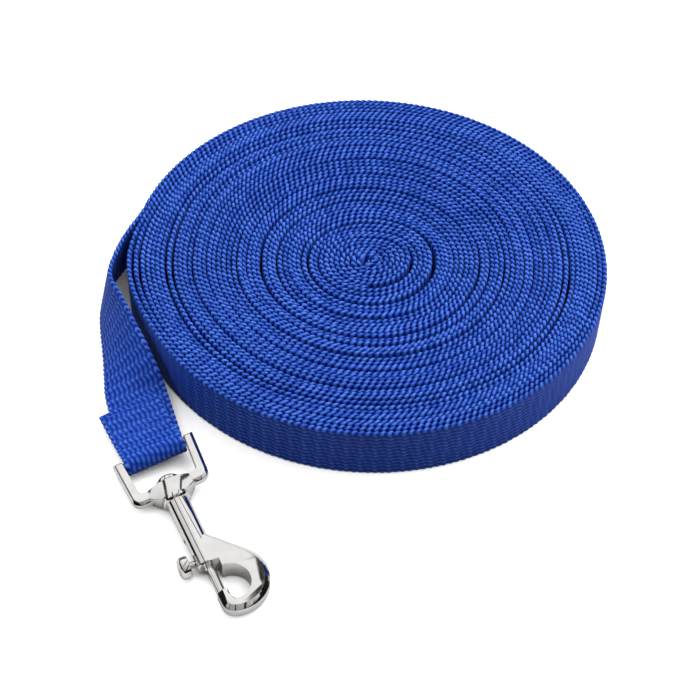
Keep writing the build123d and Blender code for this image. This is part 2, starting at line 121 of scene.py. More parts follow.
class ClampedSpline:
    """Smooth curve through points, with a given slope at both ends.

    Attributes:
        length: Length of the straight runs between the points, in plan.
    """

    def __init__(self, points: np.ndarray, first: np.ndarray, last: np.ndarray) -> None:
        """Solve the slopes at the points.

        Args:
            points: The points, one in each row.
            first: Slope at the first point, per unit of distance.
            last: Slope at the last point.
        """
        self.points = points
        self.gaps = np.linalg.norm(np.diff(points[:, :2], axis=0), axis=1)
        self.marks = np.concatenate([[0.0], np.cumsum(self.gaps)])
        self.length = self.marks[-1]
        count = len(points)
        system = np.zeros((count, count))
        wanted = np.zeros_like(points)
        system[0, 0] = system[-1, -1] = 1.0
        wanted[0], wanted[-1] = first, last
        for k in range(1, count - 1):
            before, after = self.gaps[k - 1], self.gaps[k]
            system[k, k - 1:k + 2] = after, 2 * (before + after), before
            rise_before = (points[k] - points[k - 1]) / before
            rise_after = (points[k + 1] - points[k]) / after
            wanted[k] = 3 * (after * rise_before + before * rise_after)
        self.slopes = np.linalg.solve(system, wanted)

    def read(self, at: np.ndarray) -> np.ndarray:
        """Read the curve.

        Args:
            at: Distances along the runs.

        Returns:
            The curve's points there, one in each row.
        """
        span = np.clip(np.searchsorted(self.marks, at, side="right") - 1, 0, len(self.points) - 2)
        gap = self.gaps[span][:, None]
        share = (at - self.marks[span])[:, None] / gap
        square, cube = share ** 2, share ** 3
        return (
            self.points[span] * (2 * cube - 3 * square + 1)
            + self.slopes[span] * gap * (cube - 2 * square + share)
            + self.points[span + 1] * (3 * square - 2 * cube)
            + self.slopes[span + 1] * gap * (cube - square)
        )


def place_mesh(name: str, mesh: bpy.types.Mesh) -> bpy.types.Object:
    """Show a mesh as an object at the origin, unturned.

    Args:
        name: Name of the object.
        mesh: Its mesh.

    Returns:
        The object.
    """
    piece = bpy.data.objects.new(name, mesh)
    bpy.context.collection.objects.link(piece)
    return piece


def merged_node(node: str) -> bmesh.types.BMesh:
    """Copy a CAD node's triangles and join them where their corners meet.

    Args:
        node: Name of the CAD node.

    Returns:
        The joined triangles.
    """
    shape = bmesh.new()
    shape.from_mesh(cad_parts[node].data)
    bmesh.ops.remove_doubles(shape, verts=shape.verts, dist=MERGE_GAP)
    return shape


# --------------------------------------------------------------------------------------- finishes


class NodeSheet:
    """Small helper that adds and links shader nodes in one tree."""

    def __init__(self, tree: bpy.types.NodeTree) -> None:
        """Keep the tree."""
        self.tree = tree

    def add(self, kind: str, **settings: object) -> bpy.types.Node:
        """Add a node.

        Args:
            kind: Type of the node.
            settings: Its properties, and its inputs by name with underscores for spaces.

        Returns:
            The node.
        """
        node = self.tree.nodes.new(kind)
        for key, value in settings.items():
            if hasattr(node, key):
                setattr(node, key, value)
            else:
                node.inputs[key.replace("_", " ")].default_value = value
        return node

    def link(self, source: bpy.types.NodeSocket, target: bpy.types.NodeSocket) -> None:
        """Join two sockets."""
        self.tree.links.new(source, target)

    def ramp(self, value: bpy.types.NodeSocket, stops: Sequence[tuple]) -> bpy.types.NodeSocket:
        """Turn a value into a colour.

        Args:
            value: Socket that gives the value.
            stops: Colours as (position, colour).

        Returns:
            Socket that gives the colour.
        """
        node = self.add("ShaderNodeValToRGB")
        band = node.color_ramp
        while len(band.elements) < len(stops):
            band.elements.new(0.5)
        for element, (place, colour) in zip(band.elements, stops):
            element.position = place
            element.color = (*colour, 1.0)
        self.link(value, node.inputs["Fac"])
        return node.outputs["Color"]

    def greys(self, value: bpy.types.NodeSocket, stops: Sequence[tuple]) -> bpy.types.NodeSocket:
        """Grey ramp of a value, from (position, level) stops."""
        return self.ramp(value, [(place, (level,) * 3) for place, level in stops])

    def multiply(self, one: bpy.types.NodeSocket, other: bpy.types.NodeSocket) -> bpy.types.NodeSocket:
        """Multiply two colours.

        Args:
            one: Socket of the first colour.
            other: Socket of the second colour.

        Returns:
            Socket of their product.
        """
        node = self.add("ShaderNodeMix", data_type="RGBA", blend_type="MULTIPLY")
        node.inputs[0].default_value = 1.0
        self.link(one, node.inputs[6])
        self.link(other, node.inputs[7])
        return node.outputs[2]


class Finish(NodeSheet):
    """A material under construction, with its Principled shader."""

    def __init__(self, name: str, **constants: object) -> None:
        """Make the material and set its shader's constants.

        Args:
            name: Name of the material.
            constants: Values by socket name, with underscores for spaces.
        """
        self.material = bpy.data.materials.new(name)
        self.material.use_nodes = True
        super().__init__(self.material.node_tree)
        self.shader = self.tree.nodes["Principled BSDF"]
        for key, value in constants.items():
            self.shader.inputs[key.replace("_", " ")].default_value = value

    def colour(self, source: bpy.types.NodeSocket) -> None:
        """Drive the shader's base colour."""
        self.link(source, self.shader.inputs["Base Color"])

    def emboss(self, height: bpy.types.NodeSocket, depth: float, strength: float) -> None:
        """Give the surface a fine relief.

        Args:
            height: Socket that gives the relief's height, from 0 to 1.
            depth: What a height of 1 stands for.
            strength: Share of the relief that shows.
        """
        bump = self.add("ShaderNodeBump", Strength=strength, Distance=depth)
        self.link(height, bump.inputs["Height"])
        self.link(bump.outputs["Normal"], self.shader.inputs["Normal"])

    def noise(self, place: bpy.types.NodeSocket, **settings: float) -> bpy.types.NodeSocket:
        """Add a noise pattern.

        Args:
            place: Socket that gives the place.
            settings: The noise's inputs by name.

        Returns:
            Socket of the noise's value.
        """
        node = self.add("ShaderNodeTexNoise", **settings)
        self.link(place, node.inputs["Vector"])
        return node.outputs["Fac"]


@dataclass(frozen=True)
class WovenYarn:
    """Royal blue filament yarn, with painted shade between its ribs and a painted highlight on them."""

    # Painted shade in the valleys and a painted highlight on the crests, around the yarn's own blue.
    valley_shade: tuple[float, float, float] = (0.001, 0.01, 0.14)
    body: tuple[float, float, float] = (0.01, 0.052, 0.34)
    crest_highlight: tuple[float, float, float] = (0.062, 0.155, 0.57)
    body_height: float = 0.55
    valley_height: float = 0.1
    thread_tints: tuple = ((0.3, (0.62, 0.66, 0.72)), (0.7, (1.16, 1.14, 1.1)))
    patch_tints: tuple = ((0.3, (0.84, 0.86, 0.9)), (0.7, (1.08, 1.07, 1.05)))
    patch_scale: float = 55.0
    roughness: float = 0.55
    specular: float = 0.12
    sheen: float = 0.04
    sheen_roughness: float = 0.4
    sheen_tint: tuple[float, float, float] = (0.35, 0.5, 1.0)
    filament: float = 0.22 * MM
    filament_stretch: float = 0.3
    bump: float = 0.06 * MM
    bump_strength: float = 0.6

    def build(self) -> bpy.types.Material:
        """Paint shade into the yarn's valleys and a highlight onto its crests by the strip's own
        relief, with filaments along its weave map.

        Returns:
            The material.
        """
        finish = Finish(
            "woven_yarn",
            Roughness=self.roughness,
            Specular_IOR_Level=self.specular,
            Sheen_Weight=self.sheen,
            Sheen_Roughness=self.sheen_roughness,
            Sheen_Tint=(*self.sheen_tint, 1.0),
        )
        relief = finish.add("ShaderNodeAttribute", attribute_name="relief")
        weave = finish.add("ShaderNodeUVMap", uv_map="weave")
        stretch = finish.add("ShaderNodeMapping")
        fineness = 1.0 / self.filament
        stretch.inputs["Scale"].default_value = (self.filament_stretch * fineness, fineness, 1.0)
        finish.link(weave.outputs["UV"], stretch.inputs["Vector"])
        place = finish.add("ShaderNodeTexCoord")
        yarn = finish.noise(stretch.outputs["Vector"], Scale=1.0, Detail=2.0, Roughness=0.6)
        patch = finish.noise(place.outputs["Object"], Scale=self.patch_scale, Detail=3.0, Roughness=0.6)
        # Painted shade and highlight: the relief ramp gives the weave's valleys a dark blue and its
        # crests a bright blue.
        heights = ((self.valley_height, self.valley_shade), (self.body_height, self.body), (1.0, self.crest_highlight))
        woven = finish.ramp(relief.outputs["Fac"], heights)
        threaded = finish.multiply(woven, finish.ramp(yarn, self.thread_tints))
        finish.colour(finish.multiply(threaded, finish.ramp(patch, self.patch_tints)))
        finish.emboss(yarn, self.bump, self.bump_strength)
        return finish.material


@dataclass(frozen=True)
class SewingThread:
    """Twisted blue sewing thread, a shade deeper than the webbing."""

    colour: tuple[float, float, float] = (0.012, 0.05, 0.42)
    # Painted shade in the twist's grooves and a painted highlight on its ridges, as shares of the
    # thread's colour.
    groove_shade_share: float = 0.45
    ridge_share: float = 1.6
    roughness: float = 0.42
    twist_scale: float = 900.0
    bump: float = 0.05 * MM

    def build(self) -> bpy.types.Material:
        """Twist the thread with fine slanting bands, with painted shade in their grooves and a painted
        highlight on their ridges.

        Returns:
            The material.
        """
        finish = Finish("sewing_thread", Roughness=self.roughness)
        place = finish.add("ShaderNodeTexCoord")
        twist = finish.add(
            "ShaderNodeTexWave", Scale=self.twist_scale, Distortion=1.5, bands_direction="DIAGONAL"
        )
        finish.link(place.outputs["Object"], twist.inputs["Vector"])
        # Painted shade in the grooves and a painted highlight on the ridges of the twist.
        groove_shade = tuple(self.groove_shade_share * part for part in self.colour)
        ridge = tuple(min(1.0, self.ridge_share * part) for part in self.colour)
        finish.colour(finish.ramp(twist.outputs["Fac"], ((0.1, groove_shade), (0.8, ridge))))
        finish.emboss(twist.outputs["Fac"], self.bump, 0.5)
        return finish.material


@dataclass(frozen=True)
class BrightMetal:
    """Plated or drawn metal with faint casting waves and fine wear in its gloss."""

    name: str
    colour: tuple[float, float, float]
    gloss: tuple[float, float]
    waves: float = 0.03 * MM
    wave_scale: float = 160.0
    wear_scale: float = 420.0
    dull_share: float = 0.93

    def build(self) -> bpy.types.Material:
        """Vary the metal's gloss and surface a little.

        Returns:
            The material.
        """
        finish = Finish(self.name, Metallic=1.0)
        place = finish.add("ShaderNodeTexCoord").outputs["Object"]
        wear = finish.noise(place, Scale=self.wear_scale, Detail=4.0, Roughness=0.65)
        cast = finish.noise(place, Scale=self.wave_scale, Detail=1.0)
        low, high = self.gloss
        spread = finish.add("ShaderNodeMapRange", From_Min=0.3, From_Max=0.7, To_Min=low, To_Max=high)
        finish.link(wear, spread.inputs["Value"])
        finish.link(spread.outputs["Result"], finish.shader.inputs["Roughness"])
        dull = tuple(self.dull_share * part for part in self.colour)
        finish.colour(finish.ramp(cast, ((0.35, dull), (0.65, self.colour))))
        finish.emboss(cast, self.waves, 0.5)
        return finish.material


# ----------------------------------------------------------------------------------------- strips


@dataclass
class Route:
    """Stations along the strap's middle line.

    Attributes:
        middle: Points on the middle line, one in each row.
        face: Unit vectors out of the strap's outer face.
        edge: Unit vectors across the strap, to its upper edge.
        at: Distance along the strap of each station.
    """

    middle: np.ndarray
    face: np.ndarray
    edge: np.ndarray
    at: np.ndarray

    @classmethod
    def along(cls, middle: np.ndarray, edge: np.ndarray, start: float) -> "Route":
        """Route through points, with its faces square to its run and its edges.

        Args:
            middle: Points on the middle line.
            edge: Directions across the strap, nearly square to the run.
            start: Distance of the first station.

        Returns:
            The route.
        """
        run = unit(np.gradient(middle, axis=0))
        edge = unit(edge - run * np.sum(edge * run, axis=1, keepdims=True))
        steps = np.linalg.norm(np.diff(middle, axis=0), axis=1)
        at = start + np.concatenate([[0.0], np.cumsum(steps)])
        return cls(middle, np.cross(run, edge), edge, at)

    def part(self, first: int, last: int) -> "Route":
        """Stretch of the route between two stations, both included."""
        piece = slice(first, last + 1)
        return Route(self.middle[piece], self.face[piece], self.edge[piece], self.at[piece])


@dataclass(frozen=True)
class Weave:
    """The webbing's weave: wavy rows of stitches on its faces and knobs along its edges."""

    width: float = 25 * MM
    thickness: float = 1.8 * MM
    rows: int = 12
    stitch: float = 2.8 * MM
    wave: float = 0.5 * MM
    face_depth: float = 0.34 * MM
    edge_depth: float = 0.4 * MM
    edge_pinch: float = 0.62 * MM
    face_level: float = 0.62
    edge_level: float = 0.82
    ridge_share: float = 0.4
    bar_share: float = 0.42
    band_share: float = 0.18
    ridge_power: float = 1.1
    bar_power: float = 0.7
    band_power: float = 8.0
    bar_slant: float = 0.22
    knob_slant: float = 0.42
    knob_power: float = 1.7
    knob_foot: float = 0.05
    beat_least: float = 0.72
    beat_spread: float = 0.4
    beat_most: float = 1.1
    edge_points: int = 7
    face_points_per_row: int = 5
    rim_share: float = 0.35
    rim_points: int = 3

    def profile(self, cover: Cover) -> tuple[np.ndarray, np.ndarray, np.ndarray]:
        """Outline of the strip's section, anticlockwise from the foot of the outer face.

        Args:
            cover: Which faces are fine enough to carry the weave.

        Returns:
            Points as (out of the face, up the width), outward normals, and how far each point
            belongs to a face rather than to an edge.
        """
        half = self.thickness / 2
        top = self.width / 2 - half
        fine = self.rows * self.face_points_per_row
        outer = 0 if cover is Cover.PLAIN else fine
        inner = fine if cover is Cover.BOTH else 0
        points: list[tuple[float, float]] = []
        normals: list[tuple[float, float]] = []
        face: list[float] = []

        def side(count: int, sign: float) -> None:
            """Add points up the outer face or down the inner one, between its edges.

            Args:
                count: Spaces between the points.
                sign: 1 for the outer face, -1 for the inner one.
            """
            for k in range(1, count):
                points.append((sign * half, sign * (2 * top * k / count - top)))
                normals.append((sign, 0.0))
                inwards = min(k, count - k) / self.rim_points
                face.append(min(1.0, self.rim_share + (1 - self.rim_share) * inwards))

        def edge(sign: float) -> None:
            """Add a round edge, from one face over to the other.

            Args:
                sign: 1 for the upper edge, -1 for the lower one.
            """
            for k in range(self.edge_points):
                turn = math.pi * k / (self.edge_points - 1)
                across, up = math.cos(turn), math.sin(turn)
                points.append((sign * half * across, sign * (top + half * up)))
                normals.append((sign * across, sign * up))
                face.append(0.0)

        side(outer, 1.0)
        edge(1.0)
        side(inner, -1.0)
        edge(-1.0)
        return np.array(points), np.array(normals), np.array(face)

    def height(
        self, at: np.ndarray, points: np.ndarray, face: np.ndarray, beat: np.ndarray
    ) -> np.ndarray:
        """Share from 0, deep in the weave, to 1, on its tops, at every station and point; the yarn's
        colour paints shade and highlight by it.

        Args:
            at: Distance of each station.
            points: The profile's points.
            face: The profile's face shares.
            beat: Strength of the stitch at each station.

        Returns:
            Array of stations by points.
        """
        along = at[:, None] / self.stitch
        out = points[None, :, 0] / self.thickness
        up = points[None, :, 1]
        swing = math.pi * along / 2
        arch = 1.6 * np.abs(np.sin(swing)) - 1.0
        row = (up + self.width / 2 - self.wave * arch) * self.rows / self.width
        ridge = np.abs(np.sin(math.pi * row)) ** self.ridge_power
        bar = np.abs(np.sin(math.pi * (along + self.bar_slant * row))) ** self.bar_power
        band = np.cos(swing) ** self.band_power
        woven = ridge * (self.ridge_share + self.bar_share * bar) + self.band_share * band
        turn = along + self.knob_slant * out * np.sign(up)
        knob = 1.0 - (0.5 - 0.5 * np.cos(2 * math.pi * turn)) ** self.knob_power
        knob = self.knob_foot + (1 - self.knob_foot) * knob * beat[:, None]
        return face[None, :] * woven + (1 - face[None, :]) * knob

    def beat(self, rng: np.random.Generator, at: np.ndarray) -> np.ndarray:
        """Draw the uneven strength of the stitches along a strip.

        Args:
            rng: Source of the unevenness.
            at: Distance of each station.

        Returns:
            Strength at each station, around 1.
        """
        stitches = 2 * (at - at[0]) / self.stitch
        beat = self.beat_least + self.beat_spread * smooth_noise(rng, int(stitches[-1]) + 4, stitches)
        return np.clip(beat, 0.0, self.beat_most)


class Strip:
    """One closed mesh of webbing along a route."""

    def __init__(self, name: str, weave: Weave, cover: Cover, rng: np.random.Generator) -> None:
        """Keep the strip's name, weave and cover, and the source of its unevenness."""
        self.name = name
        self.weave = weave
        self.cover = cover
        self.rng = rng

    def build(self, route: Route, shade: np.ndarray | None = None) -> bpy.types.Object:
        """Mesh the strip.

        Args:
            route: Where the strip runs.
            shade: Lightness of each station, around 1.

        Returns:
            The strip's object.
        """
        weave = self.weave
        points, normals, face = weave.profile(self.cover)
        height = weave.height(route.at, points, face, weave.beat(self.rng, route.at))
        depth = weave.face_depth * face + weave.edge_depth * (1 - face)
        lift = (height - weave.face_level) * depth[None, :]
        pinch = np.where(face > 0.0, lift, (height - weave.edge_level) * weave.edge_pinch)
        across = points[None, :, 0] + pinch * normals[None, :, 0]
        up = points[None, :, 1] + lift * normals[None, :, 1]
        verts = (
            route.middle[:, None, :]
            + across[:, :, None] * route.face[:, None, :]
            + up[:, :, None] * route.edge[:, None, :]
        )
        girth = np.concatenate([[0.0], np.cumsum(np.linalg.norm(np.diff(points, axis=0), axis=1))])
        if shade is not None:
            height = height * shade[:, None]
        return self.mesh(verts, np.clip(height, 0.0, 1.0), route.at, girth)

    def mesh(
        self, verts: np.ndarray, relief: np.ndarray, at: np.ndarray, girth: np.ndarray
    ) -> bpy.types.Object:
        """Closed tube of quads through rings of points.

        Args:
            verts: Points as stations by ring by axis.
            relief: Height of each point in the weave, from 0 to 1.
            at: Distance of each station.
            girth: Distance of each ring point round the section.

        Returns:
            The tube's object, with its weave map and its relief attribute.
        """
        stations, ring = verts.shape[:2]
        index = np.arange(stations * ring).reshape(stations, ring)
        after = np.roll(index, -1, axis=1)
        quads = np.stack([index[:-1], index[1:], after[1:], after[:-1]], axis=-1).reshape(-1, 4)
        lengths = np.concatenate([np.full(len(quads), 4), [ring, ring]])
        corners = np.concatenate([quads.ravel(), index[0], index[-1][::-1]])
        mesh = bpy.data.meshes.new(self.name)
        mesh.vertices.add(stations * ring)
        mesh.vertices.foreach_set("co", verts.reshape(-1).astype(np.float32))
        mesh.loops.add(len(corners))
        mesh.loops.foreach_set("vertex_index", corners.astype(np.int32))
        mesh.polygons.add(len(lengths))
        starts = np.concatenate([[0], np.cumsum(lengths)[:-1]])
        mesh.polygons.foreach_set("loop_start", starts.astype(np.int32))
        mesh.update(calc_edges=True)
        weave = np.stack(np.broadcast_arrays(at[:, None], girth[None, :]), axis=-1).reshape(-1, 2)
        layer = mesh.uv_layers.new(name="weave")
        layer.data.foreach_set("uv", weave[corners].reshape(-1).astype(np.float32))
        mark = mesh.attributes.new("relief", "FLOAT", "POINT")
        mark.data.foreach_set("value", relief.reshape(-1).astype(np.float32))
        mesh.shade_smooth()
        mesh.validate()
        return place_mesh(self.name, mesh)


# ------------------------------------------------------------------------------------------- roll


@dataclass(frozen=True)
class Arc:
    """Arc of the rolled strap's middle line, with angles in radians."""

    centre: tuple[float, float]
    radius: float
    start: float
    sweep: float


@dataclass(frozen=True)
class Winding:
    """How the strap is rolled up: half turns that grow by the strap's pitch."""

    pitch: float = 2.15 * MM
    heart_radius: float = 2.5 * MM
    half_turns: int = 86
    hand_half_turns: int = 6
    squeeze: float = 0.18 * MM
    far_angle: float = math.radians(90)
    exit_angle: float = math.radians(166)

    def arcs(self) -> list[Arc]:
        """Wind the main leg from the hand loop's fold, at the heart, to the exit.

        Returns:
            Its arcs.
        """
        start = self.far_angle - math.pi * (self.half_turns - 1)
        radius = self.heart_radius
        x, y = radius * math.sin(start), -radius * math.cos(start)
        arcs = [Arc((x, y), radius, start, math.pi)]
        for k in range(1, self.half_turns):
            start += math.pi
            if k < self.hand_half_turns + 2:
                growth = self.pitch
            elif (self.half_turns - k) % 2 == 0:
                growth = (self.pitch + self.squeeze) / 2
            else:
                growth = (self.pitch - self.squeeze) / 2
            x, y = x - math.cos(start) * growth, y - math.sin(start) * growth
            radius += growth
            arcs.append(Arc((x, y), radius, start, math.pi))
        last = arcs[-1]
        arcs[-1] = Arc(last.centre, last.radius, last.start, self.exit_angle - self.far_angle)
        return arcs


def walk_arcs(arcs: Sequence[Arc], step: float) -> tuple[np.ndarray, np.ndarray, np.ndarray]:
    """Stations along arcs.

    Args:
        arcs: The arcs, each starting where the one before ends.
        step: Distance between stations.

    Returns:
        Points in plan, outward directions in plan, and how many turns have been made.
    """
    radii = np.array([arc.radius for arc in arcs])
    sweeps = np.array([arc.sweep for arc in arcs])
    ends = np.cumsum(radii * sweeps)
    at = np.linspace(0.0, ends[-1], int(ends[-1] / step))
    which = np.clip(np.searchsorted(ends, at, side="left"), 0, len(arcs) - 1)
    turned = (at - (ends - radii * sweeps)[which]) / radii[which]
    angle = np.array([arc.start for arc in arcs])[which] + turned
    centre = np.array([arc.centre for arc in arcs])[which]
    outward = np.stack([np.cos(angle), np.sin(angle)], axis=1)
    turns = (np.concatenate([[0.0], np.cumsum(sweeps)])[which] + turned) / (2 * math.pi)
    return centre + outward * radii[which][:, None], outward, turns


@dataclass
class Settling:
    """Unevenness of the roll: loose and tight turns, gentle waves, and turns that ride up.

    Places along the roll are counted in turns from the heart, or back from the exit.
    """

    turns: float
    rim: float
    centre: tuple[float, float]
    tight: float = -0.04 * MM
    gap: float = 0.35 * MM
    loose_power: int = 7
    calm_heart: tuple[float, float] = (4.0, 5.5)
    calm_rim: tuple[float, float] = (1.1, 1.6)
    rise: float = 1.5 * MM
    rise_power: float = 1.6
    level_rim: tuple[float, float] = (0.6, 1.5)
    oval: float = 1.6 * MM
    oval_fade: float = 2.2
    bulge: float = 3.0 * MM
    bulge_depth: float = 2.5
    bulge_opens: tuple[float, float] = (0.0, 0.05)
    bulge_closes: tuple[float, float] = (0.06, 0.13)
    bulge_turns: tuple[float, float] = (0.5, 0.8)
    wave_count: int = 5
    wave: float = 0.28 * MM
    wave_length: float = 45 * MM
    wave_growth: float = 12 * MM
    wave_reach: tuple[float, float] = (0.75, 0.985)
    grid_step: float = 0.02
    rng: np.random.Generator = field(default_factory=lambda: np.random.default_rng(SEED))

    def __post_init__(self) -> None:
        """Draw the gaps, rises and waves once, so that every strip shares them."""
        knots = int(self.turns * 2) + 4
        self.grid = np.arange(0.0, self.turns + 2.0, self.grid_step)
        left = self.turns - self.grid
        loose = smooth_noise(self.rng, knots, self.grid * 2) ** self.loose_power
        calm = ease(self.grid, *self.calm_heart) * ease(left, *self.calm_rim)
        mean = np.sum(loose * calm) / np.sum(calm)
        spare = (loose / mean - 1.0) * (self.gap - self.tight) * calm
        self.shift = np.cumsum(spare) * self.grid_step + self.slack()
        self.ride = self.rise * smooth_noise(self.rng, knots * 2, self.grid * 3) ** self.rise_power
        self.ride *= ease(left, *self.level_rim)
        self.waves = [
            (2 * math.pi / (self.wave_length + self.wave_growth * k), angle)
            for k, angle in enumerate(self.rng.random(self.wave_count) * 2 * math.pi)
        ]

    def slack(self) -> np.ndarray:
        """Loosen the outer turns just past the exit.

        Returns:
            How far the strap stands off, on the grid of turns.
        """
        past_exit = np.mod(self.grid - self.turns, 1.0)
        loosened = ease(past_exit, *self.bulge_opens) * (1 - ease(past_exit, *self.bulge_closes))
        inside = np.ceil(np.maximum(self.turns - self.grid, 0.0))
        slack = self.bulge * loosened * np.exp((1 - inside) / self.bulge_depth)
        first, last = self.bulge_turns
        return slack * ease(self.grid, first * self.turns, last * self.turns) * (self.grid < self.turns)

    def settle(
        self, plan: np.ndarray, outward: np.ndarray, turns: np.ndarray
    ) -> tuple[np.ndarray, np.ndarray]:
        """Move stations of the roll from their even places.

        Args:
            plan: Even places in plan.
            outward: Outward directions in plan.
            turns: Turns made at each station.

        Returns:
            New places in plan, and how far each station rides up.
        """
        moved = plan + outward * np.interp(turns, self.grid, self.shift)[:, None]
        away = moved - np.array(self.centre)
        reach = np.linalg.norm(away, axis=1) / self.rim
        fade = (1 - ease(reach, *self.wave_reach))[:, None]
        for rate, angle in self.waves:
            way = np.array([math.cos(angle), math.sin(angle)])
            moved = moved + fade * self.wave * way * np.sin(rate * (away @ way) + 1.7 * angle)[:, None]
        bearing = 2 * np.arctan2(away[:, 1], away[:, 0])
        stretch = self.oval * np.exp(-reach * self.oval_fade) * ease(reach, 0.0, 0.12) * np.cos(bearing)
        moved = moved + unit(away) * stretch[:, None]
        return moved, np.interp(turns, self.grid, self.ride)


@dataclass
class Roll:
    """The rolled strap: its main leg in stretches and the hand loop's return leg."""

    weave: Weave
    winding: Winding
    coarse_step: float = 0.467 * MM
    fine_step: float = 0.7 * MM
    hand_step: float = 0.5 * MM
    fine_turns: float = 1.12
    stretches: int = 5
    darkest: float = 0.86
    lighter: float = 0.24
    wall_fade: float = 120 * MM
    rng: np.random.Generator = field(default_factory=lambda: np.random.default_rng(SEED + 1))

    def __post_init__(self) -> None:
        """Work out the arcs and the unevenness."""
        self.arcs = self.winding.arcs()
        turns = sum(arc.sweep for arc in self.arcs) / (2 * math.pi)
        last = self.arcs[-1]
        self.length = sum(arc.radius * arc.sweep for arc in self.arcs)
        self.settling = Settling(turns, last.radius, last.centre)
        self.turns = turns

    def route(self) -> tuple[Route, np.ndarray]:
        """Settled route of the main leg, and the turns made at each station."""
        plan, outward, turns = walk_arcs(self.arcs, self.coarse_step)
        return self.standing(*self.settling.settle(plan, outward, turns)), turns

    def standing(self, plan: np.ndarray, ride: np.ndarray) -> Route:
        """Route of a strap that stands on edge, riding up a little from the floor."""
        middle = np.column_stack([plan, self.weave.width / 2 + ride])
        return Route.along(middle, np.tile(UPRIGHT, (len(middle), 1)), 0.0)

    def shade(self, turns: np.ndarray) -> np.ndarray:
        """Lightness along the strap: whole turns are a little lighter or darker."""
        return self.darkest + self.lighter * smooth_noise(self.rng, int(self.turns * 3) + 6, turns * 3)

    def build(self) -> list[tuple[bpy.types.Object, float]]:
        """Mesh the main leg.

        Returns:
            Each stretch with its flat length.
        """
        route, turns = self.route()
        shade = self.shade(turns)
        begin = int(np.searchsorted(turns, self.turns - self.fine_turns))
        cuts = np.linspace(0, begin, self.stretches + 1).astype(int)
        pieces = []
        for k in range(self.stretches):
            stretch = route.part(cuts[k], cuts[k + 1])
            strip = Strip(f"strap_turns_{k + 1}", self.weave, Cover.PLAIN, self.rng)
            piece = strip.build(stretch, shade[cuts[k]:cuts[k + 1] + 1])
            pieces.append((piece, stretch.at[-1] - stretch.at[0]))
        pieces.append(self.wall(route.part(begin, len(route.at) - 1), shade[begin:]))
        return pieces

    def wall(self, fine: Route, shade: np.ndarray) -> tuple[bpy.types.Object, float]:
        """Mesh the outermost turn, whose outer face shows its weave.

        Args:
            fine: Route of the last turns.
            shade: Lightness of each of its stations.

        Returns:
            The strip and its flat length.
        """
        count = int((fine.at[-1] - fine.at[0]) / self.fine_step)
        marks = np.linspace(fine.at[0], fine.at[-1], count)
        middle = np.column_stack([np.interp(marks, fine.at, fine.middle[:, k]) for k in range(3)])
        outer = Route.along(middle, np.tile(UPRIGHT, (count, 1)), fine.at[0])
        strip = Strip("strap_wall", self.weave, Cover.OUTER, self.rng)
        level = np.interp(marks, fine.at, shade)
        level = level + (1.0 - level) * ease(marks, marks[-1] - self.wall_fade, marks[-1])
        return strip.build(outer, level), outer.at[-1] - outer.at[0]

    def hand_loop(self) -> tuple[bpy.types.Object, float]:
        """Fold of the hand loop and its return leg, outside the main leg's first turns.

        Returns:
            The strip and its flat length.
        """
        first = self.arcs[0]
        pitch = self.winding.pitch
        reach = first.radius + pitch / 2
        centre = (
            first.centre[0] + math.cos(first.start) * reach,
            first.centre[1] + math.sin(first.start) * reach,
        )
        fold = Arc(centre, pitch / 2, first.start + math.pi, math.pi)
        leg = [
            Arc(arc.centre, arc.radius + pitch, arc.start, arc.sweep)
            for arc in self.arcs[:self.winding.hand_half_turns]
        ]
        plan, outward, turns = walk_arcs([fold] + leg, self.hand_step)
        route = self.standing(*self.settling.settle(plan, outward, np.maximum(turns - 0.5, 0.0)))
        strip = Strip("hand_loop_strap", self.weave, Cover.PLAIN, self.rng)
        return strip.build(route), route.at[-1]


# ------------------------------------------------------------------------------------------- tail


